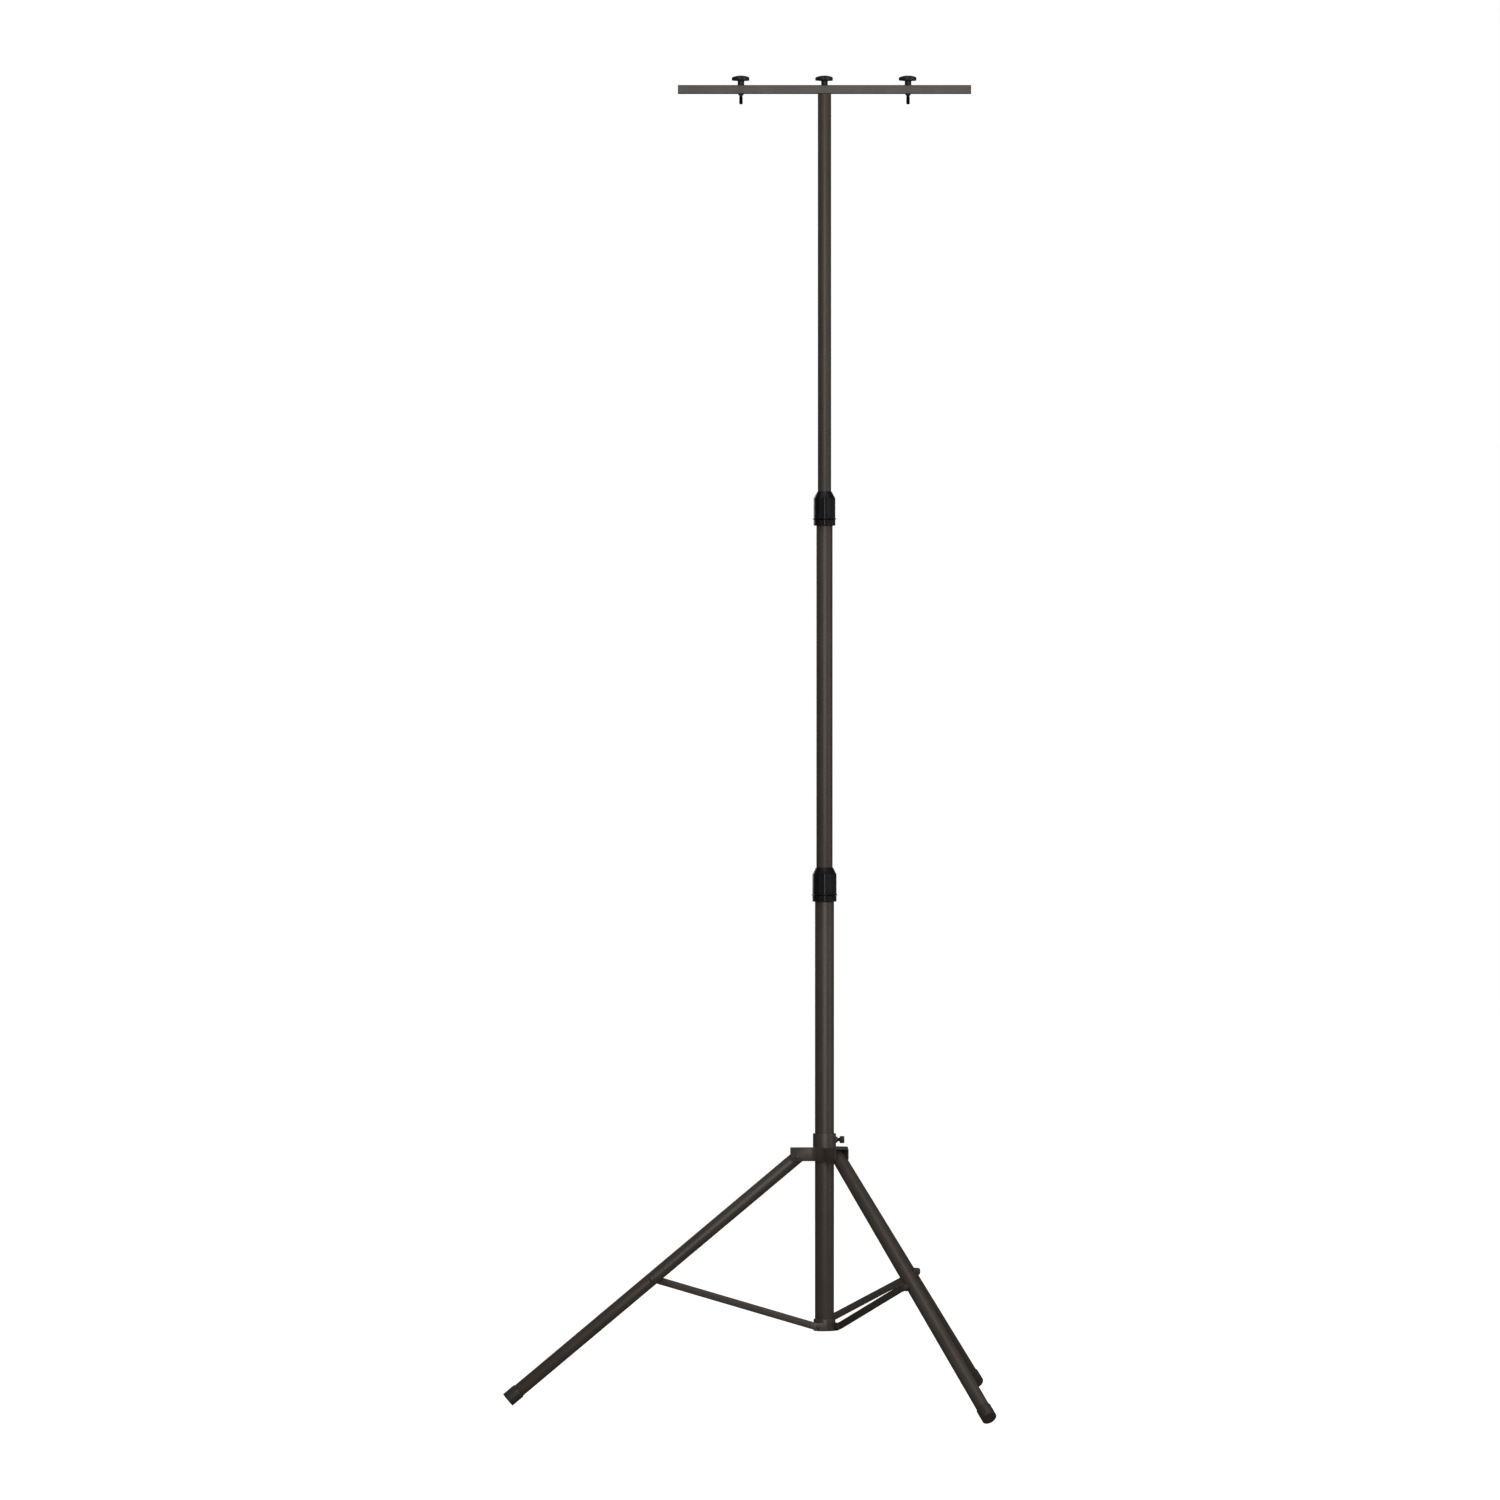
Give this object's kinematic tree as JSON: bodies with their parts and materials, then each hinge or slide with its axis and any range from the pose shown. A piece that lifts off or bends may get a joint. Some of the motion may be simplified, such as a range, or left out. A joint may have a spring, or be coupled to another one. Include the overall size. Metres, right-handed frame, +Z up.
{
  "type": "telescopic tripod stand",
  "caption": "Telescopic mast tripod with folding strutted legs, twist locks and a T-bar with clamping knobs for lamps.",
  "frame": {"origin": "on the floor, straight under the mast's axis", "axes": "+Z up along the mast, leg 1 towards -X, T-bar along X"},
  "size_m": [1.0191, 1.1718, 2.7858],
  "materials": {
    "tube_paint": "satin",
    "hub_paint": "satin",
    "strut_paint": "satin",
    "bar_paint": "satin",
    "rivet_paint": "satin",
    "lock_plastic": "matte",
    "inner_plastic": "matte",
    "cap_plastic": "matte",
    "knob_plastic": "matte",
    "screw_steel": "satin"
  },
  "bodies": {
    "mast_base": {"lower_tube": "tube_paint", "mast_plug": "inner_plastic", "strut_ring": "hub_paint", "ring_rivets": "rivet_paint", "lower_lock_sleeve": "lock_plastic", "lower_lock_collet": "inner_plastic"},
    "hub": {"leg_spider": "hub_paint", "hub_sleeve": "hub_paint", "screw_boss": "hub_paint", "leg_hinge_pins": "rivet_paint"},
    "clamp_screw": {"clamp_screw_stud": "screw_steel", "clamp_screw_head": "knob_plastic"},
    "leg_1": {"leg_1_tube": "tube_paint", "leg_1_cap": "cap_plastic", "leg_1_rivet": "rivet_paint"},
    "leg_2": {"leg_2_tube": "tube_paint", "leg_2_cap": "cap_plastic", "leg_2_rivet": "rivet_paint"},
    "leg_3": {"leg_3_tube": "tube_paint", "leg_3_cap": "cap_plastic", "leg_3_rivet": "rivet_paint"},
    "strut_1": {"strut_1_bar": "strut_paint", "strut_1_spacer": "inner_plastic", "strut_1_rivet": "rivet_paint"},
    "strut_2": {"strut_2_bar": "strut_paint", "strut_2_spacer": "inner_plastic", "strut_2_rivet": "rivet_paint"},
    "strut_3": {"strut_3_bar": "strut_paint", "strut_3_spacer": "inner_plastic", "strut_3_rivet": "rivet_paint"},
    "lower_nut": {"lower_lock_nut": "lock_plastic"},
    "mid_guide": {"mid_bush": "inner_plastic"},
    "mid_mast": {"mid_tube": "tube_paint", "upper_lock_sleeve": "lock_plastic", "upper_lock_collet": "inner_plastic"},
    "upper_nut": {"upper_lock_nut": "lock_plastic"},
    "top_guide": {"top_bush": "inner_plastic"},
    "top_mast": {"top_tube": "tube_paint", "mast_insert": "screw_steel"},
    "bar": {"t_bar": "bar_paint", "bar_plugs": "inner_plastic"},
    "bar_screw": {"bar_knob": "knob_plastic", "bar_bolt": "screw_steel"},
    "lamp_screw_left": {"lamp_knob_left": "knob_plastic", "lamp_bolt_left": "screw_steel", "lamp_collar_left": "knob_plastic"},
    "lamp_screw_right": {"lamp_knob_right": "knob_plastic", "lamp_bolt_right": "screw_steel", "lamp_collar_right": "knob_plastic"}
  },
  "joints": [
    {"name": "hub_slide", "type": "slide", "parent": "mast_base", "child": "hub", "axis": [0, 0, 1], "range_m": [0, 0.399]},
    {"name": "clamp_screw_turn", "type": "hinge", "parent": "hub", "child": "clamp_screw", "pos_m": [0.02425, 0, 0.55687], "axis": [1, 0, 0], "range_deg": [0, 720]},
    {"name": "leg_1_fold", "type": "hinge", "parent": "hub", "child": "leg_1", "pos_m": [-0.0569, 0, 0.52057], "axis": [0, -1, 0], "range_deg": [0, 47]},
    {"name": "leg_2_fold", "type": "hinge", "parent": "hub", "child": "leg_2", "pos_m": [0.02845, -0.04928, 0.52057], "axis": [0.866, 0.5, 0], "range_deg": [0, 47]},
    {"name": "leg_3_fold", "type": "hinge", "parent": "hub", "child": "leg_3", "pos_m": [0.02845, 0.04928, 0.52057], "axis": [-0.866, 0.5, 0], "range_deg": [0, 47]},
    {"name": "strut_1_fold", "type": "hinge", "parent": "mast_base", "child": "strut_1", "pos_m": [-0.0129, 0, 0.16519], "axis": [0, 1, 0], "range_deg": [0, 63.78]},
    {"name": "strut_2_fold", "type": "hinge", "parent": "mast_base", "child": "strut_2", "pos_m": [0.00645, -0.01117, 0.16519], "axis": [-0.866, -0.5, 0], "range_deg": [0, 63.78]},
    {"name": "strut_3_fold", "type": "hinge", "parent": "mast_base", "child": "strut_3", "pos_m": [0.00645, 0.01117, 0.16519], "axis": [0.866, -0.5, 0], "range_deg": [0, 63.78]},
    {"name": "lower_lock_turn", "type": "hinge", "parent": "mast_base", "child": "lower_nut", "pos_m": [0, 0, 1.05549], "axis": [0, 0, 1], "range_deg": [0, 180]},
    {"name": "mid_slide", "type": "slide", "parent": "mast_base", "child": "mid_guide", "axis": [0, 0, -1], "range_m": [0, 0.7157]},
    {"name": "mid_swivel", "type": "hinge", "parent": "mid_guide", "child": "mid_mast", "pos_m": [0, 0, 0.97699], "axis": [0, 0, 1], "continuous": true},
    {"name": "upper_lock_turn", "type": "hinge", "parent": "mid_mast", "child": "upper_nut", "pos_m": [0, 0, 1.84299], "axis": [0, 0, 1], "range_deg": [0, 180]},
    {"name": "top_slide", "type": "slide", "parent": "mid_mast", "child": "top_guide", "axis": [0, 0, -1], "range_m": [0, 0.83275]},
    {"name": "top_swivel", "type": "hinge", "parent": "top_guide", "child": "top_mast", "pos_m": [0, 0, 1.80949], "axis": [0, 0, 1], "continuous": true},
    {"name": "bar_swivel", "type": "hinge", "parent": "top_mast", "child": "bar", "pos_m": [0, 0, 2.74754], "axis": [0, 0, 1], "continuous": true},
    {"name": "bar_knob_turn", "type": "hinge", "parent": "bar", "child": "bar_screw", "pos_m": [0, 0, 2.76554], "axis": [0, 0, 1], "range_deg": [0, 720]},
    {"name": "lamp_knob_left_turn", "type": "hinge", "parent": "bar", "child": "lamp_screw_left", "pos_m": [-0.175, 0, 2.76554], "axis": [0, 0, 1], "continuous": true},
    {"name": "lamp_knob_right_turn", "type": "hinge", "parent": "bar", "child": "lamp_screw_right", "pos_m": [0.175, 0, 2.76554], "axis": [0, 0, 1], "continuous": true}
  ],
  "couplings": [
    {"joint": "leg_1_fold", "follows": "hub_slide", "rad_per_m": 2.0558},
    {"joint": "leg_2_fold", "follows": "hub_slide", "rad_per_m": 2.0558},
    {"joint": "leg_3_fold", "follows": "hub_slide", "rad_per_m": 2.0558},
    {"joint": "strut_1_fold", "follows": "hub_slide", "rad_per_m": 2.7898},
    {"joint": "strut_2_fold", "follows": "hub_slide", "rad_per_m": 2.7898},
    {"joint": "strut_3_fold", "follows": "hub_slide", "rad_per_m": 2.7898}
  ]
}
